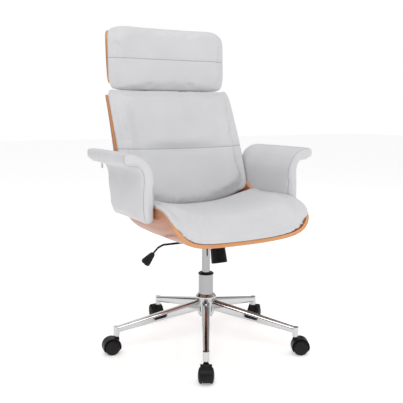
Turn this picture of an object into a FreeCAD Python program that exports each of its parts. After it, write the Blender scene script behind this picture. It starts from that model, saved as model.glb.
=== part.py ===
import FreeCAD, Part
import math
import os
import Sketcher

# High-back swivel chair: plywood seat and back shell, white cushions, gas lift, tilt mechanism
# and five-star base on twin-wheel casters. Millimetres, +Z up, the sitter faces -Y, and the
# column's axis meets the floor at the origin.

Vector = FreeCAD.Vector
Rotation = FreeCAD.Rotation
Placement = FreeCAD.Placement
up = Vector(0, 0, 1)

doc = FreeCAD.newDocument("swivel_chair")

driving = {
    # five-star base
    "leg_count": 5, "leg_first": -29.7, "leg_reach": 310, "hub_radius": 30, "hub_foot": 106,
    "hub_top": 178, "hub_flare": 35, "leg_root_top": 158, "leg_root_height": 38,
    "leg_root_width": 27, "leg_tip_top": 92, "leg_tip_height": 22, "leg_tip_width": 20,
    "socket_radius": 10, "socket_foot": 60, "sleeve_bore": 5.6, "sleeve_radius": 7.5,
    # column
    "tube_radius": 25, "tube_wall": 1.6, "tube_foot": 100, "tube_top": 246, "collar_top": 252,
    "collar_radius": 26.2, "guide_foot": 186, "gas_radius": 14, "gas_foot": 190, "gas_top": 350,
    "gas_wall": 2, "piston_radius": 5, "valve_radius": 4, "valve_foot": 330, "valve_top": 357.6,
    # mechanism
    "axle_front": 32, "axle_height": 360, "axle_radius": 4, "housing_half": 40, "sheet_wall": 3,
    "floor_height": 346, "boss_radius": 17.5, "boss_foot": 337, "ear_gap": 2, "plate_foot": 375.2,
    "plate_wall": 3.2, "plate_half": 82, "plate_front": 88, "plate_rear": 96, "slope_start": 24,
    # tension knob, measured along its own axis
    "knob_front": 88.7, "knob_height": 302.1, "knob_tilt": 14.5, "knob_length": 49,
    "knob_radius": 26.3, "knob_neck": 24.3, "knob_wall": 3, "bolt_radius": 4, "spring_coil": 11.4,
    "spring_wire": 1.5, "knob_ribs": 24,
    # lever
    "lever_height": 362.5, "lever_radius": 3.5, "lever_bend": 172, "lever_drop": 337,
    "lever_end": 198, "grip_length": 43, "grip_root": 15, "grip_tip": 31, "grip_wall": 9,
    # casters
    "wheel_radius": 24, "wheel_wall": 13.3, "wheel_gap": 22.4, "hood_radius": 29.5,
    "hood_height": 27, "hood_width": 35, "trail": 17, "axle_pin": 3, "stem_radius": 4,
    "stem_top": 86, "hood_neck": 6.3, "neck_top": 59.4,
    # shell and headrest
    "ply": 12, "seat_half": 251, "back_half": 246.8, "head_half": 233, "head_foot": 886,
    "head_top": 1075, "wing_power": 0.606, "lift_power": 0.8,
    # arms
    "arm_front": -132, "arm_rear_low": 142, "arm_rear_high": 196, "arm_foot": 456, "arm_top": 674, "arm_under": 632,
    "arm_reach": 352, "arm_inner": 251.6, "arm_outer": 284,
    # fit between soft pieces and what they lie on
    "soft_gap": 0.6,
    "head_soft_shift": 4,
    "seat_soft_half": 249, "back_soft_half": 248,
}
sheet = doc.addObject("Spreadsheet::Sheet", "dims")
for row, (alias, number) in enumerate(driving.items(), start=1):
    sheet.set(f"A{row}", alias)
    sheet.set(f"B{row}", str(number))
    sheet.setAlias(f"B{row}", alias)
doc.recompute()


def size(text):
    """The value of an alias or of an expression on the sheet's aliases."""
    return float(sheet.evalExpression(bound(text)))


def bound(text):
    """The same expression with each alias written as the sheet's cell."""
    words = str(text)
    for alias in sorted(driving, key=len, reverse=True):
        words = words.replace(alias, f"#{list(driving).index(alias)}#")
    for index, alias in enumerate(driving):
        words = words.replace(f"#{index}#", f"dims.{alias}")
    return words


def sketch_on(body, role, corners):
    """A closed polygon on one of the body's own planes, each corner bound to the sheet."""
    sketch = body.newObject("Sketcher::SketchObject", f"{body.Name}_sketch")
    plane = next(item for item in body.Origin.OriginFeatures if item.Role == role)
    sketch.AttachmentSupport = [(plane, "")]
    sketch.MapMode = "FlatFace"
    places = [(size(across), size(along)) for across, along in corners]
    count = len(corners)
    for index, place in enumerate(places):
        end = places[(index + 1) % count]
        sketch.addGeometry(Part.LineSegment(Vector(*place, 0), Vector(*end, 0)), False)
    for index in range(count):
        sketch.addConstraint(Sketcher.Constraint("Coincident", index, 2, (index + 1) % count, 1))
    for index, corner in enumerate(corners):
        for kind, text, number in zip(("DistanceX", "DistanceY"), corner, places[index]):
            made = sketch.addConstraint(Sketcher.Constraint(kind, -1, 1, index, 1, number))
            sketch.setExpression(f"Constraints[{made}]", bound(text))
    return sketch


def turned(name, corners, place=None):
    """A piece turned about its Z axis; corners are (radius, height)."""
    body = doc.addObject("PartDesign::Body", name)
    feature = body.newObject("PartDesign::Revolution", f"{name}_turn")
    profile = sketch_on(body, "XZ_Plane", corners)
    feature.Profile = profile
    feature.ReferenceAxis = (profile, ["V_Axis"])
    feature.Angle = 360
    body.Tip = feature
    if place:
        body.Placement = place
    return body


def pressed(name, role, corners, thickness, place=None, midplane=True):
    """A flat piece cut from plate; corners are on the plane named by its role."""
    body = doc.addObject("PartDesign::Body", name)
    feature = body.newObject("PartDesign::Pad", f"{name}_pad")
    feature.Profile = sketch_on(body, role, corners)
    feature.Midplane = midplane
    feature.setExpression("Length", bound(thickness))
    body.Tip = feature
    if place:
        body.Placement = place
    return body


def rod(name, radius, length, start, direction=up):
    """A Part cylinder whose radius and length are bound, from start along direction."""
    item = doc.addObject("Part::Cylinder", name)
    item.setExpression("Radius", bound(radius))
    item.setExpression("Height", bound(length))
    item.Placement = Placement(Vector(*start), Rotation(up, direction))
    return item


def block(name, low, high):
    """A Part box between two corners given as expressions."""
    item = doc.addObject("Part::Box", name)
    for side, first, last in zip(("Length", "Width", "Height"), low, high):
        item.setExpression(side, bound(f"({last}) - ({first})"))
    for axis, first in zip("xyz", low):
        item.setExpression(f"Placement.Base.{axis}", bound(first))
    return item


def shaped(name, shape, place=None):
    """A Part::Feature whose shape is worked out by this file."""
    item = doc.addObject("Part::Feature", name)
    item.Shape = shape
    if place:
        item.Placement = place
    return item


def group(name, shapes):
    """Identical small pieces that share one node, as separate solids."""
    return shaped(name, Part.makeCompound(shapes))


def without(shape, *tools):
    for tool in tools:
        shape = shape.cut(tool.Shape if hasattr(tool, "Shape") else tool)
    return shape


parts = {}


def keep(item):
    """Marks a document object as one of the chair's pieces; its Label names its file."""
    parts[item.Label] = item
    return item


# ---- five-star base ---------------------------------------------------------------------------
leg_angles = [math.radians(size("leg_first") + 360 / size("leg_count") * k)
              for k in range(int(size("leg_count")))]
leg_ways = [Vector(math.sin(angle), -math.cos(angle), 0) for angle in leg_angles]
stem_spots = [way * size("leg_reach") for way in leg_ways]


def leg_section(way, reach, top, height, width):
    """A rounded rectangle across the leg at one distance from the column."""
    side = way.cross(up)
    radius = 0.42 * width
    half = width / 2

    def spot(across, drop):
        return way * reach + side * across + up * (top - drop)

    bow = radius * (1 - math.sqrt(0.5))
    rim = [spot(-half, radius), spot(-half + bow, bow), spot(-half + radius, 0),
           spot(half - radius, 0), spot(half - bow, bow), spot(half, radius),
           spot(half, height - radius), spot(half - bow, height - bow),
           spot(half - radius, height), spot(radius - half, height),
           spot(bow - half, height - bow), spot(-half, height - radius)]
    edges = []
    for start in range(0, 12, 3):
        a, b, c = rim[start:start + 3]
        edges.append(Part.Arc(a, b, c).toShape())
        edges.append(Part.LineSegment(c, rim[(start + 3) % 12]).toShape())
    return Part.Wire(edges)


def leg(way):
    root = leg_section(way, size("hub_radius - 4"), size("leg_root_top"),
                       size("leg_root_height"), size("leg_root_width"))
    tip = leg_section(way, size("leg_reach"), size("leg_tip_top"),
                      size("leg_tip_height"), size("leg_tip_width"))
    return Part.makeLoft([root, tip], True, True)


hub = turned("hub", [
    ("tube_radius", "hub_foot"), ("hub_radius - 4", "hub_foot"), ("hub_radius", "hub_foot + 12"),
    ("hub_radius", "hub_top - 26"), ("hub_flare", "hub_top - 12"), ("hub_flare", "hub_top - 8"),
    ("tube_radius + 2.5", "hub_top"), ("tube_radius", "hub_top")])
doc.recompute()
base_shape = hub.Shape
column_bore = Part.makeCylinder(size("tube_radius"), 200, Vector(0, 0, 50))
for way, spot in zip(leg_ways, stem_spots):
    socket_height = size("leg_tip_top - socket_foot") - 0.4
    socket = Part.makeCylinder(size("socket_radius"), socket_height,
                               spot + up * size("socket_foot"))
    base_shape = base_shape.fuse([leg(way).cut(column_bore), socket])
for spot in stem_spots:
    base_shape = base_shape.cut(Part.makeCylinder(
        size("sleeve_radius"), size("leg_tip_top - socket_foot") - 3,
        spot + up * size("socket_foot")))
star_base = keep(shaped("star_base", base_shape.removeSplitter()))

sleeve_top = size("leg_tip_top") - 3.2
stem_sleeves = keep(group("stem_sleeves", [
    Part.makeCylinder(size("sleeve_radius"), sleeve_top - size("socket_foot"),
                      spot + up * size("socket_foot"))
    .cut(Part.makeCylinder(size("sleeve_bore"), size("stem_top") - size("socket_foot"),
                           spot + up * size("socket_foot")))
    for spot in stem_spots]))

# A steel stem: a thick grip length in the sleeve and a thinner pin in the caster's neck.
stem_foot = size("hood_height") + 14
caster_stems = keep(group("caster_stems", [
    Part.makeCylinder(size("sleeve_bore"), size("stem_top - neck_top") - 0.9,
                      spot + up * (size("neck_top") + 0.8))
    .fuse(Part.makeCylinder(size("stem_radius"), size("neck_top") + 0.8 - stem_foot,
                            spot + up * stem_foot)).removeSplitter()
    for spot in stem_spots]))

# ---- column ------------------------------------------------------------------------------------
column_tube = keep(turned("column_tube", [
    ("piston_radius + 1", "tube_foot"), ("tube_radius - 3", "tube_foot"),
    ("tube_radius", "tube_foot + 6"), ("tube_radius", "tube_top"),
    ("tube_radius - tube_wall", "tube_top"), ("tube_radius - tube_wall", "tube_foot + 6"),
    ("piston_radius + 1", "tube_foot + 6")]))
column_collar = keep(turned("column_collar", [
    ("gas_radius + 0.08", "guide_foot"), ("tube_radius - tube_wall", "guide_foot"),
    ("tube_radius - tube_wall", "tube_top"), ("collar_radius", "tube_top"),
    ("collar_radius", "tube_top + 3"), ("collar_radius - 4", "collar_top"),
    ("gas_radius + 0.08", "collar_top")]))

bearing_foot = size("tube_foot") + 6.1
ball_ring = 12.5
race = [Part.makeCylinder(17, 1.6, Vector(0, 0, z)).cut(
    Part.makeCylinder(size("piston_radius"), 1.6, Vector(0, 0, z)))
    for z in (bearing_foot, bearing_foot + 5.6)]
balls = [Part.makeSphere(2, Vector(ball_ring * math.cos(turn), ball_ring * math.sin(turn),
                                   bearing_foot + 3.6))
         for turn in (math.radians(30 * k) for k in range(12))]
thrust_bearing = keep(group("thrust_bearing", race + balls))
piston_rod = keep(turned("piston_rod", [
    ("0", "tube_foot - 6"), ("piston_radius - 1", "tube_foot - 6"),
    ("piston_radius", "tube_foot - 5"), ("piston_radius", "tube_foot + 13.3"),
    ("piston_radius + 4", "tube_foot + 13.3"), ("piston_radius + 4", "tube_foot + 16"),
    ("piston_radius", "tube_foot + 17"), ("piston_radius", "gas_foot + 40"),
    ("gas_radius - gas_wall - 0.1", "gas_foot + 40"), ("gas_radius - gas_wall - 0.1", "gas_foot + 52"),
    ("0", "gas_foot + 52")]))
rod_clip = keep(turned("rod_clip", [
    ("piston_radius", "tube_foot - 3"), ("piston_radius + 5", "tube_foot - 3"),
    ("piston_radius + 5", "tube_foot - 1"), ("piston_radius", "tube_foot - 1")]))

gas_cylinder = keep(turned("gas_cylinder", [
    ("piston_radius + 0.06", "gas_foot"), ("gas_radius", "gas_foot"), ("gas_radius", "gas_top"),
    ("valve_radius + 0.06", "gas_top"), ("valve_radius + 0.06", "valve_foot - 4"),
    ("gas_radius - gas_wall", "valve_foot - 4"), ("gas_radius - gas_wall", "gas_foot + 8"),
    ("piston_radius + 0.06", "gas_foot + 8")]))
valve_pin = keep(turned("valve_pin", [
    ("0", "valve_foot"), ("valve_radius", "valve_foot"), ("valve_radius", "valve_top - 1"),
    ("valve_radius - 1", "valve_top"), ("0", "valve_top")]))

# ---- tilt mechanism ------------------------------------------------------------------------------
tilt = math.radians(size("knob_tilt"))
knob_way = Vector(0, math.sin(tilt), math.cos(tilt))
knob_foot = Vector(0, -size("knob_front"), size("knob_height"))
knob_place = Placement(knob_foot, Rotation(up, knob_way))
knob_slope = math.tan(tilt)


def along_knob(distance):
    return knob_foot + knob_way * distance


def slope_height(y, lift):
    """Height of a line parallel to the sloping floor, lift above its underside, at y."""
    start = Vector(0, -size("slope_start"), size("floor_height")) + knob_way * lift
    return start.z + (start.y - y) * knob_slope


wall = size("sheet_wall")
front = -98
tray_side = [(62, 346), (-size("slope_start"), 346), (front, slope_height(front, 0)),
             (front + 1.5, slope_height(front + 1.5, 6)), (-50, slope_height(-50, 6)),
             (-46, 372), (-32, 373), (-20, 371.4), (62, 354.0)]


def side_plate(outline, x_low, x_high):
    """A plate in the YZ plane, from x_low to x_high."""
    points = [Vector(x_low, y, z) for y, z in outline]
    face = Part.Face(Part.makePolygon(points + points[:1]))
    return face.extrude(Vector(x_high - x_low, 0, 0))


half = size("housing_half")
inner_side = [(62 + 5, 346 + wall), (-size("slope_start") + 0.8, 346 + wall),
              (front - 5, slope_height(front - 5, wall)), (front - 5, 390), (67, 390)]
tray = side_plate(tray_side, -half, half).cut(side_plate(inner_side, wall - half, half - wall))
boss = Part.makeCylinder(size("boss_radius"), size("floor_height - boss_foot") + 7,
                         Vector(0, 0, size("boss_foot")))
axle_spot = Vector(-60, -size("axle_front"), size("axle_height"))
axle_bore = Part.makeCylinder(size("axle_radius") + 0.02, 120, axle_spot, Vector(1, 0, 0))
housing_shape = tray.fuse(boss).cut(
    Part.makeCylinder(size("gas_radius"), 40, Vector(0, 0, size("boss_foot") - 1)))
lever_notch = Part.makeBox(8, 10.4, 20, Vector(-half - 2, -5.2, size("lever_height") - 5.2))
bolt_slot = Part.makeCylinder(7, 20, along_knob(52), knob_way)
lock_window = Part.makeBox(8, 24, 3.8, Vector(-half - 2, -3, size("floor_height") + wall - 0.1))
housing_shape = housing_shape.cut([axle_bore, lever_notch, bolt_slot, lock_window]).removeSplitter()
mech_housing = keep(shaped("mech_housing", housing_shape))

ear_low = half + size("ear_gap")
ear_high = ear_low + wall
plate = block("plate_blank", ("-plate_half", "-plate_front", "plate_foot"),
              ("plate_half", "plate_rear", "plate_foot + plate_wall"))
ear_side = [(-86, size("plate_foot")), (-86, slope_height(-86, 8)), (-50, slope_height(-50, 8)),
            (-44, 350), (-20, 350), (-16, size("plate_foot"))]
tongue_side = [(-86, slope_height(-86, 7.4)), (-52, slope_height(-52, 7.4)),
               (-52, slope_height(-52, 10.4)), (-86, slope_height(-86, 10.4))]
ears = [side_plate(ear_side, x, x + wall) for x in (-ear_high, ear_low)]
tongue = side_plate(tongue_side, -ear_high, ear_high)
doc.recompute()
plate_shape = plate.Shape.fuse(ears + [tongue])
bush_bore = Part.makeCylinder(size("axle_radius") + 2, 120, axle_spot, Vector(1, 0, 0))
tongue_slot = Part.makeCylinder(6.5, 10, along_knob(63), knob_way)
head_window = Part.makeCylinder(14, 20, Vector(0, -68, size("plate_foot") - 2))
lever_window = Part.makeBox(40, 22, 10, Vector(-90, -11, size("plate_foot") - 2))
plate_shape = plate_shape.cut([bush_bore, tongue_slot, head_window, lever_window])

screw_spots = [Vector(x, y, size("plate_foot")) for x in (-68, 68) for y in (-76, 82)]
seat_screws = keep(group("seat_screws", [
    Part.makeCylinder(3, 12, spot).fuse(
        Part.makeCylinder(6.5, 3, spot - up * 3)).removeSplitter()
    for spot in screw_spots]))
seat_plate = keep(shaped("seat_plate", without(plate_shape, seat_screws).removeSplitter()))

tilt_axle = keep(rod("tilt_axle", "axle_radius", "2 * housing_half + 22",
                     (-half - 11, -size("axle_front"), size("axle_height")), Vector(1, 0, 0)))
axle_bushes = keep(group("axle_bushes", [
    Part.makeCylinder(size("axle_radius") + 1.98, wall + 1.6,
                      Vector(x - 0.8, axle_spot.y, axle_spot.z), Vector(1, 0, 0))
    .cut(Part.makeCylinder(size("axle_radius") + 0.05, wall + 2,
                           Vector(x - 1, axle_spot.y, axle_spot.z), Vector(1, 0, 0)))
    for x in (-ear_high, ear_low)]))

# ---- tension knob, its bolt and its spring -------------------------------------------------------
knob_blank = turned("knob_blank", [
    ("bolt_radius + 0.05", "4"), ("9", "4"), ("9", "0"), ("knob_radius - 2", "0"),
    ("knob_radius", "2"), ("knob_neck", "knob_length"), ("knob_neck - knob_wall", "knob_length"),
    ("knob_radius - knob_wall", "9"), ("bolt_radius + 0.05", "9")])
doc.recompute()
rib_lean = math.atan2(size("knob_neck - knob_radius"), size("knob_length"))
rib_cutters = []
for k in range(int(size("knob_ribs"))):
    turn = 2 * math.pi * k / size("knob_ribs")
    out = Vector(math.cos(turn), math.sin(turn), 0)
    cutter = Part.makeCylinder(1.5, size("knob_length") - 8, out * (size("knob_radius") + 0.5) + up * 4,
                               out * math.tan(rib_lean) + up)
    rib_cutters.append(cutter)
tension_knob = keep(shaped("tension_knob", knob_blank.Shape.cut(rib_cutters), knob_place))
tension_bolt = keep(turned("tension_bolt", [
    ("0", "0.4"), ("7.5", "0.4"), ("7.5", "3.8"), ("bolt_radius", "3.8"),
    ("bolt_radius", "knob_length + 23.2"), ("8", "knob_length + 23.2"),
    ("8", "knob_length + 26.2"), ("0", "knob_length + 26.2")], knob_place))
coil_start = 11
coil_height = 44.6
coil = Part.makeHelix(6.2, coil_height, size("spring_coil"))
coil_wire = Part.Wire(coil)
coil_section = Part.Wire(Part.Circle(Vector(size("spring_coil"), 0, 0), Vector(0, 1, 0),
                                     size("spring_wire")).toShape())
spring_shape = coil_wire.makePipeShell([coil_section], True, True)
tension_spring = keep(shaped("tension_spring", spring_shape,
                             Placement(along_knob(coil_start), Rotation(up, knob_way))))

# ---- lever -----------------------------------------------------------------------------------------
lever_z = size("lever_height")
bend_start = Vector(-size("lever_bend") + 12, 0, lever_z)
bend_mid = Vector(-size("lever_bend") + 2.4, 0, lever_z - 3.4)
fall_way = Vector(size("lever_bend") - size("lever_end"), 0, size("lever_drop") - lever_z)
fall_way.normalize()
bend_end = Vector(-size("lever_bend"), 0, lever_z) + fall_way * 12
lever_tip = Vector(-size("lever_end"), 0, size("lever_drop")) + fall_way * 10
lever_start = Vector(20, 0, lever_z)
lever_path = Part.Wire([
    Part.LineSegment(lever_start, bend_start).toShape(),
    Part.Arc(bend_start, bend_mid, bend_end).toShape(),
    Part.LineSegment(bend_end, lever_tip).toShape()])
lever_circle = Part.Wire(Part.Circle(lever_start, Vector(1, 0, 0), size("lever_radius")).toShape())
# A cross pin through the rod is what it rocks on, between the sides of the housing's notch.
rock_pin = Part.makeCylinder(2.6, 9.4, Vector(1.5 - half, -4.7, lever_z), Vector(0, 1, 0))
lever_solid = lever_path.makePipeShell([lever_circle], True, False).fuse(rock_pin)
lever_rod = keep(shaped("lever_rod", lever_solid.removeSplitter()))

# The grip is a flat paddle that widens outward, with a shallow notch in its end.
grip_place = Placement(Vector(-size("lever_end"), 0, size("lever_drop")), Rotation(up, fall_way))
grip_blank = pressed("grip_blank", "XZ_Plane", [
    ("-grip_root / 2 + 3", "-2"), ("grip_root / 2 - 3", "-2"), ("grip_root / 2", "3"),
    ("grip_tip / 2", "grip_length - 7"), ("grip_tip / 2 - 3", "grip_length - 1"),
    ("5", "grip_length + 1"), ("0", "grip_length - 1"), ("-5", "grip_length + 1"),
    ("-grip_tip / 2 + 3", "grip_length - 1"), ("-grip_tip / 2", "grip_length - 7"),
    ("-grip_root / 2", "3")], "grip_wall", grip_place)
doc.recompute()
lever_grip = keep(shaped("lever_grip", without(grip_blank.Shape, lever_rod)))

# The lock bar slides with the lever and reaches along the ear that it would hold.
lock_foot = size("floor_height") + wall + 0.1
lock_shape = Part.makeBox(32, 12, 3, Vector(-36, 8, lock_foot)).fuse(
    Part.makeBox(10, 14, 3, Vector(-36, -2, lock_foot)))
lock_bar = keep(shaped("lock_bar", lock_shape.removeSplitter().cut(
    Part.makeCylinder(size("boss_radius") + 1, 60, Vector(0, 0, 330)))))

# ---- casters -----------------------------------------------------------------------------------
# Each caster's trailing direction, in degrees from the front, as it happens to stand.
trail_angles = [-29.7, 60.6, 130, 181, -98.3]


def hood_shape():
    """A caster hood at the origin: stem on the Z axis, trailing along +Y, axle along X."""
    centre = Vector(0, size("trail"), size("hood_height"))
    hub_spot = Vector(0, size("trail"), size("wheel_radius"))
    width = size("hood_width")
    web = size("wheel_gap") - 0.8
    drum = Part.makeCylinder(size("hood_radius"), width, centre - Vector(width / 2, 0, 0),
                             Vector(1, 0, 0))
    for side in (-1, 1):
        start = centre + Vector(side * web / 2, 0, 0)
        hollow = Part.makeCylinder(size("hood_radius") - 2.2, width, start, Vector(side, 0, 0))
        drum = drum.cut(hollow)
    neck = Part.makeCylinder(size("hood_neck") + 3, 30, Vector(0, 0, 24))
    collar = Part.makeCylinder(size("hood_neck"), size("neck_top") - 50, Vector(0, 0, 50))
    drum = drum.fuse([neck, collar])
    lips = Part.makeBox(80, 100, 40, Vector(-40, -40, 17 - 40))
    web_room = Part.makeBox(80, 100, 40, Vector(-40, -40, 10 - 40))
    middle = Part.makeBox(web, 100, 80, Vector(-web / 2, -40, 0))
    lower_web = drum.common(middle).cut(web_room)
    drum = drum.cut(lips).fuse(lower_web)
    pin = Part.makeCylinder(size("stem_radius") + 0.06, 60, Vector(0, 0, stem_foot - 0.6))
    axle = Part.makeCylinder(size("axle_pin"), 60, hub_spot - Vector(30, 0, 0), Vector(1, 0, 0))
    return drum.cut([pin, axle]).removeSplitter()


def wheel_shape(side):
    """One wheel with a rounded tread and a domed outer face; side is -1 or 1 along X."""
    r = size("wheel_radius")
    w = size("wheel_wall")
    bore = size("axle_pin") + 0.05

    def spot(out, away):
        return Vector(side * (size("wheel_gap") / 2 + out), size("trail"), r + away)

    profile = Part.Wire([
        Part.LineSegment(spot(0, bore), spot(0, r - 1.5)).toShape(),
        Part.Arc(spot(0, r - 1.5), spot(0.5, r - 0.4), spot(1.6, r)).toShape(),
        Part.LineSegment(spot(1.6, r), spot(w - 6.5, r)).toShape(),
        Part.Arc(spot(w - 6.5, r), spot(w - 3.6, r - 3), spot(w - 1.4, r - 9)).toShape(),
        Part.LineSegment(spot(w - 1.4, r - 9), spot(w, bore + 4)).toShape(),
        Part.LineSegment(spot(w, bore + 4), spot(w, bore)).toShape(),
        Part.LineSegment(spot(w, bore), spot(0, bore)).toShape()])
    wheel = Part.Face(profile).revolve(Vector(0, size("trail"), r), Vector(1, 0, 0), 360)
    if wheel.Volume < 0:
        wheel.reverse()
    return wheel


def axle_shape():
    length = size("wheel_gap + 2 * wheel_wall") - 1
    spot = Vector(-length / 2, size("trail"), size("wheel_radius"))
    return Part.makeCylinder(size("axle_pin"), length, spot, Vector(1, 0, 0))


hood = hood_shape()
caster_pieces = {
    "hood": hood, "axle": axle_shape(), "wheel_left": wheel_shape(1), "wheel_right": wheel_shape(-1)}
for number, (spot, heading) in enumerate(zip(stem_spots, trail_angles), start=1):
    place = Placement(spot, Rotation(up, heading + 180))
    for piece, shape in caster_pieces.items():
        keep(shaped(f"caster_{piece}_{number}", shape.copy(), place))

# ---- plywood shell ---------------------------------------------------------------------------------
# Stations from the front lip to the top of the back: the middle line of the outer face and the
# line of the wing's outer edge, both as (y, z).
shell_middle = [(-215, 383.5), (-150, 380), (-60, 379), (40, 379), (118, 381), (176, 397),
                (214, 436), (235, 500), (249, 560), (263, 620), (276, 680), (290, 740),
                (304, 800), (313, 838)]
shell_edge = [(-166, 503), (-130, 506), (-50, 503), (18, 502), (72, 508), (116, 530),
              (143, 560), (160, 590), (175, 622), (190, 660), (207, 706), (226, 755),
              (247, 805), (267, 849)]
head_middle = [(324.5, 886), (331, 930), (336, 980), (339, 1030), (341, 1075)]


def spline_at(points, where):
    """Catmull-Rom through the points; where counts stations and may run a little past the ends."""
    last = len(points) - 1
    index = max(0, min(last - 1, int(math.floor(where))))
    f = where - index

    def point(k):
        if k < 0:
            return [2 * a - b for a, b in zip(points[0], points[1])]
        if k > last:
            return [2 * a - b for a, b in zip(points[last], points[last - 1])]
        return points[k]

    a, b, c, d = (point(index + k) for k in (-1, 0, 1, 2))
    return [0.5 * (2 * q + (r - p) * f + (2 * p - 5 * q + 4 * r - s) * f * f
                   + (3 * q - p - 3 * r + s) * f ** 3) for p, q, r, s in zip(a, b, c, d)]


def section(angle):
    """Share of the half-width and of the wing's depth at one angle across, -90 to 90 degrees."""
    turn = math.radians(angle)
    across = math.copysign(abs(math.sin(turn)) ** size("wing_power"), turn)
    return across, 1 - max(0.0, math.cos(turn)) ** size("lift_power")


def shell_point(where, angle):
    """The shell's outer face: from its middle line to its edge line, bowed at the front lip."""
    across, rise = section(angle)
    y, z = spline_at(shell_middle, where)
    edge_y, edge_z = spline_at(shell_edge, where)
    blend = min(1.0, max(0.0, where / 8))
    width = size("seat_half") + (size("back_half") - size("seat_half")) * blend
    ear = max(0.0, (rise - 0.5) / 0.5)
    bow = (1 - math.exp(-((rise / 0.16) ** 1.3))) * math.sqrt(max(0.0, 1 - ear * ear))
    lip = 56 * bow * math.exp(-((max(0.0, where) / 1.1) ** 2))
    return Vector(width * across, y + (edge_y - y) * rise - lip, z + (edge_z - z) * rise)


def head_point(where, angle):
    """The headrest shell's outer face; its side edges bow out at mid height."""
    span = where / 2 - 1
    across, rise = section(angle * (1 - 0.24 * abs(span) ** 3))
    corner = abs(angle / 90) ** 6
    y, z = spline_at(head_middle, where)
    middle = (size("head_foot") + size("head_top")) / 2
    z = middle + (z - middle) * (1 - 0.06 * corner)
    return Vector(size("head_half") * across, y - 46 * rise, z)


def normal_at(face, where, angle):
    """Unit normal of such a face, towards the sitter."""
    step = 0.02
    across = face(where, angle + 40 * step) - face(where, angle - 40 * step)
    along = face(where + step, angle) - face(where - step, angle)
    normal = across.cross(along)
    return normal.normalize()


def net(face, stations, angles, offset):
    """Points of a face, moved by offset along its normal."""
    return [[face(where, angle) + normal_at(face, where, angle) * offset for angle in angles]
            for where in stations]


def sheet_face(points):
    surface = Part.BSplineSurface()
    surface.interpolate(points)
    return surface.toShape()


def between(lower, upper):
    """The closed solid between two nets of points that have the same layout."""
    faces = [sheet_face(lower), sheet_face(upper)]
    sides = [Part.makeRuledSurface(first, second)
             for first, second in zip(faces[0].Edges, faces[1].Edges)]
    solid = Part.Solid(Part.makeShell(faces + sides))
    if solid.Volume < 0:
        solid.reverse()
    return solid


def spread(first, last, count):
    return [first + (last - first) * k / (count - 1) for k in range(count)]


def eased(limit, count):
    """Angles across, closer together towards the wings."""
    return [limit * math.sin(math.radians(90 * t)) for t in spread(-1, 1, count)]


shell_angles = eased(90, 33)
shell_stations = spread(0, 13, 40)
ply = size("ply")
shell_shape = between(net(shell_point, shell_stations, shell_angles, 0),
                      net(shell_point, shell_stations, shell_angles, ply))
head_angles = eased(90, 25)
head_stations = spread(0, 4, 13)
head_shape = between(net(head_point, head_stations, head_angles, 0),
                     net(head_point, head_stations, head_angles, ply))

# ---- cushions ------------------------------------------------------------------------------------
# Front faces run from a middle line to a side line, both as (y, z), blended across the width.
seat_middle = [(128, 468), (70, 471), (0, 474), (-80, 477), (-140, 476), (-185, 467),
               (-215, 449), (-232, 424), (-231, 402)]
seat_side = [(100, 518), (62, 522), (10, 527), (-60, 530), (-130, 531), (-190, 526),
             (-228, 508), (-250, 482), (-252, 458)]
back_middle = [(129, 470), (142, 510), (157, 560), (173, 615), (188, 665), (204, 715),
               (220, 765), (236, 815), (249, 857)]
back_side = [(106, 522), (110, 548), (121, 584), (138, 627), (154, 668), (176, 715),
             (201, 765), (227, 815), (252, 857)]


def soft_front(middle, side, half_width, stations):
    """The front face's points: the middle line swings over to the side line towards each edge."""
    count = 25
    power = 2.5
    rows = []
    for where in stations:
        y, z = spline_at(middle, where)
        side_y, side_z = spline_at(side, where)
        row = []
        for share in spread(-1, 1, count):
            blend = abs(share) ** power
            row.append(Vector(half_width * share, y + (side_y - y) * blend,
                              z + (side_z - z) * blend))
        rows.append(row)
    return rows


soft_stations = spread(0, 8, 17)
under_stations = spread(5.05, 0.02, 17)
under_angles = [84 * share for share in spread(-1, 1, 25)]
gap = size("ply") + size("soft_gap")
seat_shape = between(net(shell_point, under_stations, under_angles, gap),
                     soft_front(seat_middle, seat_side, size("seat_soft_half"), soft_stations))
behind_stations = spread(5.6, 12.95, 17)
back_shape = between(net(shell_point, behind_stations, under_angles, gap),
                     soft_front(back_middle, back_side, size("back_soft_half"), soft_stations))


def head_front(where, share):
    span = where / 4 - 1
    width = 238 * (1 - 0.05 * abs(span) ** 5)
    height = 113.5 * (1 - 0.10 * abs(share) ** 6)
    y = 266 - 6 * abs(share) ** 2 + 6 * abs(span) ** 4 + 6 * abs(share) ** 8
    return Vector(width * share, y + 2 * span, 974.5 + height * span)


head_under = net(head_point, spread(0.02, 3.98, 17), under_angles, gap)
head_soft = between(head_under, [[head_front(where, share) for share in spread(-1, 1, 25)]
                                 for where in soft_stations])
head_soft.translate(Vector(0, -size("head_soft_shift"), 0))

# ---- arms -----------------------------------------------------------------------------------------
def arm_section(points, y):
    """A closed wire of lines and arcs at one y; a point with a middle starts an arc."""
    edges = []
    count = len(points)
    for index, (x, z, middle) in enumerate(points):
        after = points[(index + 1) % count]
        start = Vector(x, y, z)
        end = Vector(after[0], y, after[1])
        if middle:
            edges.append(Part.Arc(start, Vector(middle[0], y, middle[1]), end).toShape())
        else:
            edges.append(Part.LineSegment(start, end).toShape())
    return Part.Wire(edges)


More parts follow.
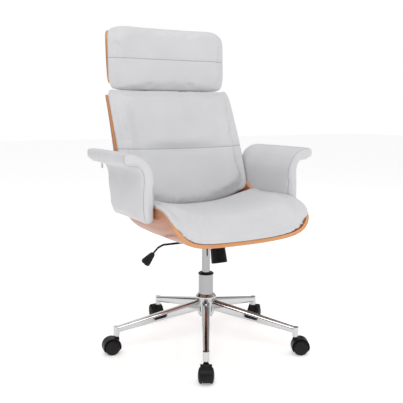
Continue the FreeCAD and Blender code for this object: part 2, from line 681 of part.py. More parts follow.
inner = size("arm_inner")
outer = size("arm_outer")
top = size("arm_top")
under = size("arm_under")
reach = size("arm_reach")
pad_points = [(inner, size("arm_foot"), None), (inner - 1.2, 588, (270, 646)),
              (322, top - 2, None), (reach - 6, top - 1, (reach - 1, top - 3)),
              (reach, top - 9, None), (reach, under + 8, (reach - 2, under + 2)),
              (reach - 8, under, None), (305, under - 1, (287, 621)),
              (outer - 3, 600, None), (outer, size("arm_foot"), None)]
core_points = [(262, 470, None), (258, 590, (276, 633)), (322, 657, None), (336, 657, None),
               (336, 647, None), (322, 647, (284, 627)), (268, 590, None), (272, 470, None)]
arm_length = size("arm_rear_high - arm_front") + 4
core_margin = 16
core_length = size("arm_rear_low - arm_front") - 3 * core_margin
pad_blank = Part.Face(arm_section(pad_points, size("arm_front"))).extrude(Vector(0, arm_length, 0))
core_blank = Part.Face(arm_section(core_points, size("arm_front") + core_margin)).extrude(
    Vector(0, core_length, 0))


def rounded_side(corners, radii):
    """A block whose YZ outline is a polygon with rounded corners."""
    points = [Vector(200, y, z) for y, z in corners]
    edges = []
    ends = []
    for k, corner in enumerate(points):
        before = (points[k - 1] - corner).normalize()
        after = (points[(k + 1) % len(points)] - corner).normalize()
        half_turn = before.getAngle(after) / 2
        run = radii[k] / math.tan(half_turn)
        inward = (before + after).normalize()
        middle = corner + inward * radii[k] * (1 / math.sin(half_turn) - 1)
        edges.append(Part.Arc(corner + before * run, middle, corner + after * run).toShape())
        ends.append((corner + before * run, corner + after * run))
    for k, (_, leave) in enumerate(ends):
        edges.append(Part.LineSegment(leave, ends[(k + 1) % len(ends)][0]).toShape())
    outline = Part.Wire(Part.__sortEdges__(edges))
    return Part.Face(outline).extrude(Vector(200, 0, 0))


arm_outline = rounded_side([(size("arm_front"), size("arm_foot")),
                            (size("arm_rear_low"), size("arm_foot")),
                            (size("arm_rear_high"), top + 2), (size("arm_front"), top + 2)],
                           (16, 34, 9, 6))
pad_solid = pad_blank.common(arm_outline)
bolt_spots = [Vector(0, y, 484) for y in (-70, 50)]
arm_bolt_shapes = [Part.makeCylinder(3, 27, Vector(241, s.y, s.z), Vector(1, 0, 0)).fuse(
    Part.makeCylinder(7, 2.4, Vector(239.4, s.y, s.z), Vector(1, 0, 0))).removeSplitter()
    for s in bolt_spots]
core_solid = core_blank
for tool in arm_bolt_shapes:
    core_solid = core_solid.cut(tool)
pad_solid = pad_solid.cut([core_blank] + arm_bolt_shapes)


def mirrored(shape):
    return shape.mirror(Vector(), Vector(1, 0, 0))


for side, flip in (("left", lambda s: s), ("right", mirrored)):
    keep(shaped(f"arm_core_{side}", flip(core_solid)))
    keep(shaped(f"arm_pad_{side}", flip(pad_solid)))
arm_bolts = keep(group("arm_bolts", arm_bolt_shapes + [mirrored(s) for s in arm_bolt_shapes]))

# A zip slider under each pad near its rear edge, with a pull tab that hangs from it.
tab_spot = Vector(312, 142, under - 1)
slider = Part.makeBox(7, 9, 3.8, tab_spot + Vector(-3.5, -4.5, -3.8)).cut(
    Part.makeCylinder(0.9, 20, tab_spot + Vector(0, -10, -2.2), Vector(0, 1, 0)))
zip_pin = Part.makeCylinder(0.85, 12, tab_spot + Vector(0, -6, -2.2), Vector(0, 1, 0))
tab_plate = Part.makeBox(1.4, 12, 20.6, tab_spot + Vector(-0.7, -6, -22)).cut(
    Part.makeBox(4, 9.6, 8, tab_spot + Vector(-2, -4.8, -8)))
zip_tab = tab_plate.fuse(zip_pin).removeSplitter()
zip_sliders = keep(group("zip_sliders", [slider, mirrored(slider)]))
keep(shaped("zip_tab_left", zip_tab))
keep(shaped("zip_tab_right", mirrored(zip_tab)))

# ---- headrest straps ------------------------------------------------------------------------------
strap_wall = 4
strap_line = [spline_at(shell_middle, w) for w in (11.4, 12.2, 13)]
strap_line += [spline_at(head_middle, w) for w in (0, 0.7, 1.4)]


def strap(x):
    """A bent steel strip behind the two shells, 0.5 mm off their middle lines."""
    back = []
    face = []
    for k, (y, z) in enumerate(strap_line):
        before = strap_line[max(0, k - 1)]
        after = strap_line[min(len(strap_line) - 1, k + 1)]
        run = Vector(0, after[0] - before[0], after[1] - before[1]).normalize()
        out = Vector(0, run.z, -run.y)
        face.append(Vector(x, y, z) + out * 0.5)
        back.append(Vector(x, y, z) + out * (0.5 + strap_wall))
    outline = face + back[::-1]
    strip = Part.Face(Part.makePolygon(outline + outline[:1])).extrude(Vector(32, 0, 0))
    return strip


def strap_screw(x, line_where, line):
    y, z = spline_at(line, line_where)
    ahead = spline_at(line, line_where + 0.05)
    run = Vector(0, ahead[0] - y, ahead[1] - z).normalize()
    out = Vector(0, run.z, -run.y)
    spot = Vector(x, y, z) + out * (strap_wall + 1)
    return Part.makeCylinder(2.5, 12, spot - out * 10, out).fuse(
        Part.makeCylinder(5.5, 2.6, spot, out)).removeSplitter()


strap_sides = (-96, 64)
screw_shapes = [strap_screw(x + 16, where, line) for x in strap_sides
                for where, line in ((11.6, shell_middle), (12.5, shell_middle),
                                    (0.45, head_middle), (1.15, head_middle))]
strap_screws = keep(group("strap_screws", screw_shapes))
headrest_straps = keep(group("headrest_straps", [
    strap(x).cut(screw_shapes) for x in strap_sides]))

bolts_all = arm_bolt_shapes + [mirrored(s) for s in arm_bolt_shapes]
screws_all = [s for s in seat_screws.Shape.Solids]
keep(shaped("seat_shell", shell_shape.cut(bolts_all + screws_all + screw_shapes)))
keep(shaped("headrest_shell", head_shape.cut(screw_shapes)))


# The back cushion's lower corners are trimmed 1 mm clear of the shell's wings.
trim_shift = Vector(0, -0.8, 0.6)
trimmed_back = back_shape.cut(shell_shape.translated(trim_shift)).Solids
keep(shaped("seat_cushion", seat_shape))
keep(shaped("back_cushion", max(trimmed_back, key=lambda solid: solid.Volume)))
keep(shaped("headrest_cushion", head_soft))

# ---- checks and files -------------------------------------------------------------------------------
doc.recompute()
for item in doc.Objects:
    if {"Invalid", "Error"} & set(item.State):
        raise RuntimeError(f"{item.Label} did not build: {item.State}")
os.makedirs("parts", exist_ok=True)
for label, item in parts.items():
    shape = item.Shape
    if shape.isNull() or not shape.isValid() or shape.Volume <= 0:
        raise RuntimeError(f"{label} has no valid solid")
    shape.exportStep(f"parts/{label}.step")
print(f"{len(parts)} pieces written")
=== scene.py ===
import math

import bpy
import numpy as np
from mathutils import Matrix, Vector


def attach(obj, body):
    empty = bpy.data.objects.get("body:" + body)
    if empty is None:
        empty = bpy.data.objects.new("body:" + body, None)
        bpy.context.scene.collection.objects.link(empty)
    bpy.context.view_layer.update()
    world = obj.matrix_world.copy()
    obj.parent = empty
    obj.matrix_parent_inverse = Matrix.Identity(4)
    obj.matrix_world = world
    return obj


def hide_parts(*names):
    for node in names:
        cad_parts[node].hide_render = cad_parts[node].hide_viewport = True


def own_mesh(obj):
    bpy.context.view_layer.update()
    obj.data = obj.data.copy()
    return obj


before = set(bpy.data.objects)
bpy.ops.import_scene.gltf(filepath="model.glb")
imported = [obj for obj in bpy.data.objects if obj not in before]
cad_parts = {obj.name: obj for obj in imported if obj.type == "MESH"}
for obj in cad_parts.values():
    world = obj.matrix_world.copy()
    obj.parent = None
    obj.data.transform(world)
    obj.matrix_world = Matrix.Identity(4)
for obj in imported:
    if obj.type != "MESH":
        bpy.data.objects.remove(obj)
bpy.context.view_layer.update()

# White cushioned swivel chair: moulded plywood shell, headrest, padded arms, chrome base.
# The sitter faces -Y and the wheels stand on z = 0. Lengths in the dictionaries are millimetres.

mm = 0.001
casterCount = 5
print("frame loaded,", len(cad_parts), "nodes")


# ---- nodes and materials

def newMaterial(name):
    material = bpy.data.materials.new(name)
    material.use_nodes = True
    nodes = material.node_tree.nodes
    nodes.clear()
    output = nodes.new("ShaderNodeOutputMaterial")
    shader = nodes.new("ShaderNodeBsdfPrincipled")
    material.node_tree.links.new(shader.outputs[0], output.inputs[0])
    return material, shader


def node(material, kind, inputs=None, **fields):
    made = material.node_tree.nodes.new("ShaderNode" + kind)
    for field, value in fields.items():
        setattr(made, field, value)
    for key, value in (inputs or {}).items():
        socket = made.inputs[key]
        if isinstance(value, bpy.types.NodeSocket):
            material.node_tree.links.new(value, socket)
        else:
            socket.default_value = value
    return made


def link(material, output, socket):
    material.node_tree.links.new(output, socket)


def sums(material, operation, *values):
    return node(material, "Math", dict(enumerate(values)), operation=operation).outputs[0]


def ramp(material, value, stops):
    made = node(material, "ValToRGB", {"Fac": value})
    elements = made.color_ramp.elements
    while len(elements) < len(stops):
        elements.new(0.5)
    for element, (place, color) in zip(elements, stops):
        element.position = place
        element.color = (*color, 1)
    return made.outputs["Color"]


def objectPlace(material, scale=(1, 1, 1)):
    place = node(material, "TexCoord").outputs["Object"]
    return node(material, "Mapping", {"Vector": place, "Scale": scale}).outputs[0]


def noise(material, place, scale, detail=3.0, rough=0.5):
    return node(material, "TexNoise", {"Vector": place, "Scale": scale, "Detail": detail,
                                       "Roughness": rough}).outputs["Fac"]


def bump(material, shader, height, strength, distance=0.001):
    made = node(material, "Bump", {"Height": height, "Strength": strength, "Distance": distance})
    link(material, made.outputs[0], shader.inputs["Normal"])


coverLook = {"light": (0.60, 0.60, 0.615), "shade": (0.565, 0.565, 0.58), "seamPaintedShade": (0.36, 0.36, 0.38),
             "roughness": 0.48, "gloss": 0.42, "sheen": 0.12, "sheenRoughness": 0.45,
             "grainScale": 700, "fineScale": 1800, "broadScale": 9, "grainDepth": 0.16, "seamHalf": 0.0007,
             "stitchOffset": 0.0034, "stitchHalf": 0.00045, "stitchPerMetre": 260, "stitchGap": 0.28}


def coverMaterial(name, seamHeight=None, seamBow=0.0, axis=2):
    # coated cloth: fine pebble grain, soft satin, and a sewn line at one height where asked, its groove
    # darkened with painted shade
    look = coverLook
    material, shader = newMaterial(name)
    place = objectPlace(material)
    cells = node(material, "TexVoronoi", {"Vector": place, "Scale": look["grainScale"]},
                 feature="SMOOTH_F1").outputs["Distance"]
    fine = noise(material, place, look["fineScale"], 2.0)
    broad = noise(material, place, look["broadScale"], 3.0)
    height = sums(material, "ADD", sums(material, "MULTIPLY", cells, 0.6),
                  sums(material, "MULTIPLY", fine, 0.5))
    color = ramp(material, broad, [(0.3, look["shade"]), (0.7, look["light"])])
    if seamHeight is not None:
        parts = node(material, "SeparateXYZ", {0: place})
        bow = sums(material, "MULTIPLY", sums(material, "POWER", parts.outputs[0], 2.0), seamBow)
        level = sums(material, "SUBTRACT", sums(material, "SUBTRACT", parts.outputs[axis], seamHeight), bow)
        run = parts.outputs[0]
        if axis == 1:
            run = sums(material, "ADD", parts.outputs[0], parts.outputs[2])
        away = sums(material, "ABSOLUTE", level)
        line = node(material, "MapRange", {"Value": away, "From Min": look["seamHalf"],
                                           "From Max": look["seamHalf"] * 2.6, "To Min": 1.0,
                                           "To Max": 0.0}, interpolation_type="SMOOTHSTEP").outputs[0]
        row = sums(material, "ABSOLUTE", sums(material, "SUBTRACT", level, look["stitchOffset"]))
        dash = sums(material, "FRACT", sums(material, "MULTIPLY", run, look["stitchPerMetre"]))
        thread = sums(material, "MULTIPLY", sums(material, "LESS_THAN", row, look["stitchHalf"]),
                      sums(material, "GREATER_THAN", dash, look["stitchGap"]))
        # the seam line is mixed towards a darker grey: painted shade in the seam's groove
        mix = node(material, "Mix", {"Factor": line}, data_type="RGBA")
        link(material, color, mix.inputs[6])
        mix.inputs[7].default_value = (*look["seamPaintedShade"], 1)
        color = mix.outputs[2]
        height = sums(material, "ADD", sums(material, "SUBTRACT", height,
                                            sums(material, "MULTIPLY", line, 2.5)), thread)
    link(material, color, shader.inputs["Base Color"])
    shader.inputs["Roughness"].default_value = look["roughness"]
    shader.inputs["Specular IOR Level"].default_value = look["gloss"]
    shader.inputs["Sheen Weight"].default_value = look["sheen"]
    shader.inputs["Sheen Roughness"].default_value = look["sheenRoughness"]
    bump(material, shader, height, look["grainDepth"], 0.0006)
    return material


veneerLook = {"stops": [(0.2, (0.24, 0.075, 0.03)), (0.5, (0.40, 0.145, 0.06)), (0.85, (0.52, 0.21, 0.09))],
              "wide": (55, 3.2, 1), "pores": (900, 22, 1), "streaks": (210, 2.5, 1),
              "roughness": 0.36, "coat": 0.25, "coatRoughness": 0.22}


def sheetNoise(material, place, scale, size=1.0, detail=3.0, rough=0.5):
    # noise drawn out along the sheet by a different scale each way
    stretched = node(material, "Mapping", {"Vector": place, "Scale": scale}).outputs[0]
    return noise(material, stretched, size, detail, rough)


def veneerMaterial():
    # straight grain that runs up the shell: noise drawn out along the sheet's second direction
    look = veneerLook
    material, shader = newMaterial("walnutVeneer")
    sheetPlace = node(material, "UVMap", uv_map="sheet").outputs[0]
    wide = sheetNoise(material, sheetPlace, look["wide"], 0.55, 4.0, 0.6)
    pores = sheetNoise(material, sheetPlace, look["pores"], 1.0, 2.0)
    streaks = sheetNoise(material, sheetPlace, look["streaks"])
    grain = sums(material, "ADD", sums(material, "MULTIPLY", streaks, 0.55),
                 sums(material, "MULTIPLY", wide, 0.55))
    grain = sums(material, "SUBTRACT", grain, sums(material, "MULTIPLY", pores, 0.14))
    link(material, ramp(material, grain, look["stops"]), shader.inputs["Base Color"])
    shader.inputs["Roughness"].default_value = look["roughness"]
    shader.inputs["Coat Weight"].default_value = look["coat"]
    shader.inputs["Coat Roughness"].default_value = look["coatRoughness"]
    bump(material, shader, pores, 0.10, 0.0004)
    return material


plyLook = {"plies": 9, "thick": 0.012, "pale": (0.74, 0.37, 0.165), "deep": (0.58, 0.25, 0.095),
           "glue": (0.33, 0.12, 0.045), "roughness": 0.5, "flecks": (420, 1300, 1), "voids": (48, 260, 1)}


def plyMaterial():
    # layered edge: bands across the thickness, end-grain flecks and a few dark voids
    look = plyLook
    material, shader = newMaterial("plyEdge")
    sheetPlace = node(material, "UVMap", uv_map="sheet").outputs[0]
    parts = node(material, "SeparateXYZ", {0: sheetPlace})
    layer = sums(material, "MULTIPLY", parts.outputs[1], look["plies"] / look["thick"])
    odd = sums(material, "FRACT", sums(material, "MULTIPLY", layer, 0.5))
    fleck = sheetNoise(material, sheetPlace, look["flecks"])
    tone = sums(material, "ADD", sums(material, "MULTIPLY", sums(material, "GREATER_THAN", odd, 0.5), 0.55),
                sums(material, "MULTIPLY", fleck, 0.5))
    color = ramp(material, tone, [(0.2, look["deep"]), (0.95, look["pale"])])
    seam = sums(material, "ABSOLUTE", sums(material, "SUBTRACT", sums(material, "FRACT", layer), 0.5))
    glue = node(material, "MapRange", {"Value": seam, "From Min": 0.40, "From Max": 0.5, "To Min": 0.0,
                                       "To Max": 0.55}).outputs[0]
    spots = sheetNoise(material, sheetPlace, look["voids"], 1.0, 1.0)
    voids = node(material, "MapRange", {"Value": spots, "From Min": 0.735, "From Max": 0.775,
                                        "To Min": 0.0, "To Max": 0.9}).outputs[0]
    dark = sums(material, "MAXIMUM", glue, voids)
    mix = node(material, "Mix", {"Factor": dark}, data_type="RGBA")
    link(material, color, mix.inputs[6])
    mix.inputs[7].default_value = (*look["glue"], 1)
    link(material, mix.outputs[2], shader.inputs["Base Color"])
    shader.inputs["Roughness"].default_value = look["roughness"]
    bump(material, shader, tone, 0.12, 0.0004)
    return material


def plainMaterial(name, color, roughness, metallic, grainScale, grainDepth, colorShift=0.12, coat=0.0,
                  stretch=(1, 1, 1)):
    # one colour broken by fine noise in tone, gloss and relief
    material, shader = newMaterial(name)
    place = objectPlace(material, stretch)
    grain = noise(material, place, grainScale, 3.0)
    broad = noise(material, place, grainScale / 24, 3.0)
    darker = tuple(channel * (1 - colorShift) for channel in color)
    link(material, ramp(material, broad, [(0.3, darker), (0.7, color)]), shader.inputs["Base Color"])
    gloss = node(material, "MapRange", {"Value": grain, "To Min": roughness * 0.85,
                                        "To Max": roughness * 1.2}).outputs[0]
    link(material, gloss, shader.inputs["Roughness"])
    shader.inputs["Metallic"].default_value = metallic
    shader.inputs["Coat Weight"].default_value = coat
    bump(material, shader, grain, grainDepth, 0.0003)
    return material


chromeMaterial = plainMaterial("chromePlate", (0.60, 0.60, 0.61), 0.055, 1.0, 260, 0.012, 0.04)
# the column and gas cylinder get a darker copy of the chrome: painted shade standing in for the dark
# reflections on the column
shadedChromeMaterial = plainMaterial("chromeTubePaintedShade", (0.38, 0.38, 0.39), 0.07, 1.0, 260, 0.012, 0.04)
steelMaterial = plainMaterial("zincSteel", (0.52, 0.52, 0.53), 0.32, 1.0, 500, 0.05, 0.15, 0.0, (1, 1, 0.2))
blackSteelMaterial = plainMaterial("blackPowderCoat", (0.016, 0.016, 0.017), 0.42, 0.0, 1500, 0.22, 0.2)
blackPlasticMaterial = plainMaterial("blackNylon", (0.010, 0.010, 0.011), 0.38, 0.0, 1100, 0.14, 0.2)
treadMaterial = plainMaterial("wheelNylon", (0.014, 0.014, 0.015), 0.46, 0.0, 900, 0.20, 0.25)
zipMaterial = plainMaterial("zipNickel", (0.55, 0.54, 0.52), 0.26, 1.0, 700, 0.06, 0.12)
blackGloss = 0.16
for dark in (blackSteelMaterial, blackPlasticMaterial, treadMaterial):
    dark.node_tree.nodes["Principled BSDF"].inputs["Specular IOR Level"].default_value = blackGloss
coverPlain = coverMaterial("whiteCover")
coverBack = coverMaterial("whiteCoverBack", 0.662, 0.10)
coverHead = coverMaterial("whiteCoverHead", 0.975, 0.02)
coverArm = coverMaterial("whiteCoverArm", -0.119, 0.0, 1)
veneer = veneerMaterial()
plyEdge = plyMaterial()
print("materials made")


# ---- surfaces

def alongLine(points, where):
    # a smooth line through the points (Catmull-Rom); where counts points and may be a whole array
    line = np.array(points, float)
    line = np.vstack([2 * line[0] - line[1], line, 2 * line[-1] - line[-2]])
    where = np.asarray(where, float)
    start = np.clip(np.floor(where).astype(int), 0, len(points) - 2)
    f = (where - start)[..., None]
    a, b, c, d = (line[start + k] for k in range(4))
    return 0.5 * (2 * b + (c - a) * f + (2 * a - 5 * b + 4 * c - d) * f ** 2
                  + (3 * b - a - 3 * c + d) * f ** 3)


def gridFaces(rows, columns, first=0):
    # quads between neighbouring rows and columns of a grid numbered row by row
    index = first + np.arange(rows * columns).reshape(rows, columns)
    return np.stack([index[:-1, :-1], index[:-1, 1:], index[1:, 1:], index[1:, :-1]], -1).reshape(-1, 4)


def outward(points, faces):
    # faces turned over together if the closed shape they bound has a negative volume
    a, b, c, d = (points[faces[:, k]] for k in range(4))
    volume = (a * np.cross(b, c)).sum() + (a * np.cross(c, d)).sum()
    return faces if volume > 0 else faces[:, ::-1]


def makePiece(name, points, faces, materials, faceMaterial=None, uv=None):
    mesh = bpy.data.meshes.new(name)
    mesh.from_pydata(points.tolist(), [], faces.tolist())
    for material in materials:
        mesh.materials.append(material)
    if faceMaterial is not None:
        mesh.polygons.foreach_set("material_index", faceMaterial.astype(np.int32))
    if uv is not None:
        layer = mesh.uv_layers.new(name="sheet")
        layer.data.foreach_set("uv", uv.astype(np.float32).ravel())
    mesh.polygons.foreach_set("use_smooth", np.ones(len(faces), bool))
    mesh.update()
    piece = bpy.data.objects.new(name, mesh)
    bpy.context.scene.collection.objects.link(piece)
    return piece


def addBevel(piece, width, segments=2, angle=35):
    bevel = piece.modifiers.new("edges", "BEVEL")
    bevel.width = width
    bevel.segments = segments
    bevel.limit_method = "ANGLE"
    bevel.angle_limit = math.radians(angle)


def readPoints(mesh):
    points = np.empty(len(mesh.vertices) * 3, np.float32)
    mesh.vertices.foreach_get("co", points)
    return points.reshape(-1, 3).astype(float)


# ---- plywood shell

shell = {
    "middle": [(-215, 383.5), (-150, 380), (-60, 379), (40, 379), (118, 381), (176, 397), (214, 436),
               (235, 500), (249, 560), (263, 620), (276, 680), (290, 740), (304, 800), (313, 838)],
    "edge": [(-166, 503), (-130, 506), (-50, 503), (18, 502), (72, 508), (116, 530), (143, 560),
             (160, 590), (175, 622), (190, 660), (207, 706), (226, 755), (247, 805), (267, 849)],
    "seatHalf": 251, "backHalf": 246.8, "wingPower": 0.606, "liftPower": 0.8, "ply": 12,
    "lipBow": 56, "rows": 150, "columns": 97}


def sectionShare(angle, powers=shell):
    # share of the half-width and of the wing's rise: sine and cosine of the angle, each to a power
    turn = np.radians(angle)
    across = np.sign(turn) * np.abs(np.sin(turn)) ** powers["wingPower"]
    rise = 1 - np.clip(np.cos(turn), 0, 1) ** powers["liftPower"]
    return across, rise


def shellPoint(where, angle):
    # outer face: moves from the middle line to the edge line by the rise, bowed forward at the lip
    across, rise = sectionShare(angle)
    y, z = np.moveaxis(alongLine(shell["middle"], where), -1, 0)
    edgeY, edgeZ = np.moveaxis(alongLine(shell["edge"], where), -1, 0)
    half = shell["seatHalf"] + (shell["backHalf"] - shell["seatHalf"]) * np.clip(where / 8, 0, 1)
    ear = np.clip((rise - 0.5) / 0.5, 0, 1)
    bow = (1 - np.exp(-((rise / 0.16) ** 1.3))) * np.sqrt(1 - ear ** 2)
    lip = shell["lipBow"] * bow * np.exp(-((np.clip(where, 0, None) / 1.1) ** 2))
    return np.stack([half * across, y + (edgeY - y) * rise - lip, z + (edgeZ - z) * rise], -1)


headShell = {"middle": [(324.5, 886), (331, 930), (336, 980), (339, 1030), (341, 1075)], "half": 233,
             "foot": 886, "top": 1075, "wingDepth": 46, "rows": 60, "columns": 81}


def headPoint(where, angle):
    # headrest shell: the same section with a shallower wing whose edges bow out at mid height
    span = where / 2 - 1
    across, rise = sectionShare(angle * (1 - 0.24 * np.abs(span) ** 3))
    y, z = np.moveaxis(alongLine(headShell["middle"], where), -1, 0)
    middle = (headShell["foot"] + headShell["top"]) / 2
    z = middle + (z - middle) * (1 - 0.06 * np.abs(angle / 90) ** 6)
    return np.stack([headShell["half"] * across, y - headShell["wingDepth"] * rise, z], -1)


def facing(face, where, angle):
    # unit normal towards the sitter, from small steps across and along the face
    step = 0.02
    across = face(where, angle + 40 * step) - face(where, angle - 40 * step)
    along = face(where + step, angle) - face(where - step, angle)
    normal = np.cross(across, along)
    return normal / np.linalg.norm(normal, axis=-1, keepdims=True)


def offsetFace(face, where, angle, offset):
    return face(where, angle) + facing(face, where, angle) * offset


rimClose = 8  # length given to the last step round a sheet's edge
softEdge = 0.0013  # radius that takes the sharpness off a sheet's edges


def plySheet(name, face, lastStation, rows, columns, layers=6):
    # two grids one ply thickness apart, closed round the border by strips across the thickness
    where, share = np.meshgrid(np.linspace(0, lastStation, rows), np.linspace(-1, 1, columns), indexing="ij")
    angle = 90 * np.sin(np.pi / 2 * share)
    outer = face(where, angle)
    inner = offsetFace(face, where, angle, shell["ply"])
    index = np.arange(rows * columns).reshape(rows, columns)
    border = np.concatenate([index[0, :-1], index[:-1, -1], index[-1, :0:-1], index[:0:-1, 0]])
    flatOuter = outer.reshape(-1, 3)
    flatInner = inner.reshape(-1, 3)
    steps = np.linspace(0, 1, layers + 1)[1:-1, None, None]
    rim = flatOuter[border] * (1 - steps) + flatInner[border] * steps
    points = np.concatenate([flatOuter, flatInner, rim.reshape(-1, 3)]) * mm
    count = rows * columns
    rings = [border] + [2 * count + k * len(border) + np.arange(len(border)) for k in range(layers - 1)]
    rings = np.stack(rings + [border + count])
    nextRings = np.roll(rings, -1, axis=1)
    strip = np.stack([rings[:-1], rings[1:], nextRings[1:], nextRings[:-1]], -1).reshape(-1, 4)
    faces = np.concatenate([gridFaces(rows, columns)[:, ::-1], gridFaces(rows, columns, count), strip])
    # sheet coordinates in metres: across and up on the faces, round and through on the edge
    run = np.cumsum(np.linalg.norm(np.diff(outer, axis=1, prepend=outer[:, :1]), axis=-1), axis=1)
    rise = np.cumsum(np.linalg.norm(np.diff(outer, axis=0, prepend=outer[:1]), axis=-1), axis=0)
    flat = np.stack([run, rise], -1).reshape(-1, 2) * mm
    rimSteps = np.diff(flatOuter[border], axis=0, prepend=flatOuter[border][:1])
    around = np.cumsum(np.linalg.norm(rimSteps, axis=1))
    around = np.append(around, around[-1] + rimClose) * mm
    depth = np.linspace(0, shell["ply"] * mm, layers + 1)
    a, b = np.meshgrid(depth[:-1], around[:-1], indexing="ij")
    c, d = np.meshgrid(depth[1:], around[1:], indexing="ij")
    stripUv = np.stack([np.stack([b, a], -1), np.stack([b, c], -1), np.stack([d, c], -1),
                        np.stack([d, a], -1)], -2).reshape(-1, 4, 2)
    faceUv = flat[gridFaces(rows, columns)]
    uv = np.concatenate([faceUv[:, ::-1], faceUv, stripUv])
    kind = np.concatenate([np.zeros(2 * len(faceUv)), np.ones(len(strip))])
    turned = outward(points, faces)
    if turned is not faces:
        uv = uv[:, ::-1]
    piece = makePiece(name, points, turned, [veneer, plyEdge], kind, uv)
    addBevel(piece, softEdge)
    return piece


seatSheet = plySheet("plywoodShell", shellPoint, 13, shell["rows"], shell["columns"])
headSheet = plySheet("plywoodHeadrest", headPoint, 4, headShell["rows"], headShell["columns"])
for piece, name in ((seatSheet, "seat_shell"), (headSheet, "headrest_shell")):
    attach(piece, "seat")
    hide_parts(name)
print("plywood made")


# ---- cushions

seatPad = {
    "middle": [(128, 468), (70, 471), (0, 474), (-80, 477), (-140, 476), (-185, 467), (-215, 449),
               (-232, 424), (-231, 402)],
    "side": [(104, 534), (64, 531), (10, 528), (-60, 530), (-130, 531), (-190, 526), (-228, 508),
             (-250, 482), (-252, 458)],
    "half": 257, "power": 2.4, "under": (5.05, 0.02), "reach": (0.0, 1.01), "corner": 9, "edge": 7,
    "voxel": 0.006, "pressure": 4.0, "limit": 0.010, "fill": 0.8}
backPad = {
    "middle": [(129, 470), (142, 510), (157, 560), (173, 615), (188, 665), (204, 715), (220, 765),
               (236, 815), (249, 857)],
    "side": [(106, 522), (110, 548), (121, 584), (138, 627), (154, 668), (176, 715), (201, 765),
             (227, 815), (252, 857)],
    "half": 252, "power": 2.4, "under": (5.6, 12.95), "reach": (-0.04, 1.09), "corner": 14, "edge": 8,
    "voxel": 0.006, "pressure": 4.0, "limit": 0.010, "fill": 0.75}
headPad = {"half": 242, "rise": 134, "centre": 973, "corner": 12, "edge": 6, "voxel": 0.005,
           "pressure": 4.0, "limit": 0.009, "fill": 0.85}
softGap = 0.6
underAngle = 84  # how far round the shell's wings a cushion's underside reaches
cloth = {"quality": 5, "mass": 0.25, "stretch": 12, "bend": 0.35, "moments": 20}


def boxGrid(size):
    # the six faces of the box -1..1, each a grid, as one set of points and quads
    line = np.linspace(-1, 1, size)
    p, q = np.meshgrid(line, line, indexing="ij")
    one = np.ones_like(p)
    sides = []
    for axis in range(3):
        for way in (-1, 1):
            side = np.empty((size, size, 3))
            side[..., axis] = way * one
            side[..., (axis + 1) % 3] = p * way
            side[..., (axis + 2) % 3] = q
            sides.append(side.reshape(-1, 3))
    faces = np.concatenate([gridFaces(size, size, k * size * size) for k in range(6)])
    return np.concatenate(sides), faces


def pillow(place, corner, edge, size=72, roundUnder=False):
    # a box rounded by power norms: first its outline in plan, then its upper edge, then bent by place
    box, faces = boxGrid(size)
    a, t, b = box.T
    c = b if roundUnder else (b + 1) / 2
    plan = (np.abs(a) ** corner + np.abs(t) ** corner) ** (1 / corner)
    norm = (plan ** edge + np.abs(c) ** edge) ** (1 / edge)
    norm = np.maximum(norm, 1)
    points = place(a / norm, t / norm, c / norm) * mm
    return points, outward(points, faces)


def softFront(pad, f, a):
    first, last = pad["reach"]
    where = 8 * (first + (last - first) * f)
    y, z = np.moveaxis(alongLine(pad["middle"], where), -1, 0)
    sideY, sideZ = np.moveaxis(alongLine(pad["side"], where), -1, 0)
    blend = np.abs(a) ** pad["power"]
    return np.stack([pad["half"] * a, y + (sideY - y) * blend, z + (sideZ - z) * blend], -1)


def shellPlace(pad):
    def place(a, t, c):
        # from the shell's inner face to the front line, blended across the width
        f = (t + 1) / 2
        first, last = pad["under"]
        under = offsetFace(shellPoint, first + (last - first) * f, underAngle * a, shell["ply"] + softGap)
        front = softFront(pad, f, a)
        return under + (front - under) * c[..., None]
    return place


def headPlace(a, t, c):
    pad = headPad
    under = offsetFace(headPoint, 2 + 1.98 * t, underAngle * a, shell["ply"] + softGap)
    width = pad["half"] * (1 - 0.05 * np.abs(t) ** 5)
    height = pad["rise"] * (1 - 0.10 * np.abs(a) ** 6)
    y = 266 - 6 * a ** 2 + 12 * t ** 4 + 14 * np.abs(a) ** 8 + 2 * t
    front = np.stack([width * a, y, pad["centre"] + height * t], -1)
    return under + (front - under) * c[..., None]


def shellGauge(face, last):
    # points and normals over a shell's inner face, to tell how far a point stands off it
    where, share = np.meshgrid(np.linspace(0, last, 60), np.linspace(-1, 1, 61), indexing="ij")
    angle = 88 * share
    points = offsetFace(face, where, angle, shell["ply"]).reshape(-1, 3) * mm
    return points, facing(face, where, angle).reshape(-1, 3)


def standOff(points, gauge):
    spots, normals = gauge
    nearest = np.concatenate([
        np.argmin(((chunk[:, None] - spots[None]) ** 2).sum(-1), axis=1)
        for chunk in np.array_split(points, max(1, len(points) // 1500))])
    return ((points - spots[nearest]) * normals[nearest]).sum(-1), normals[nearest]


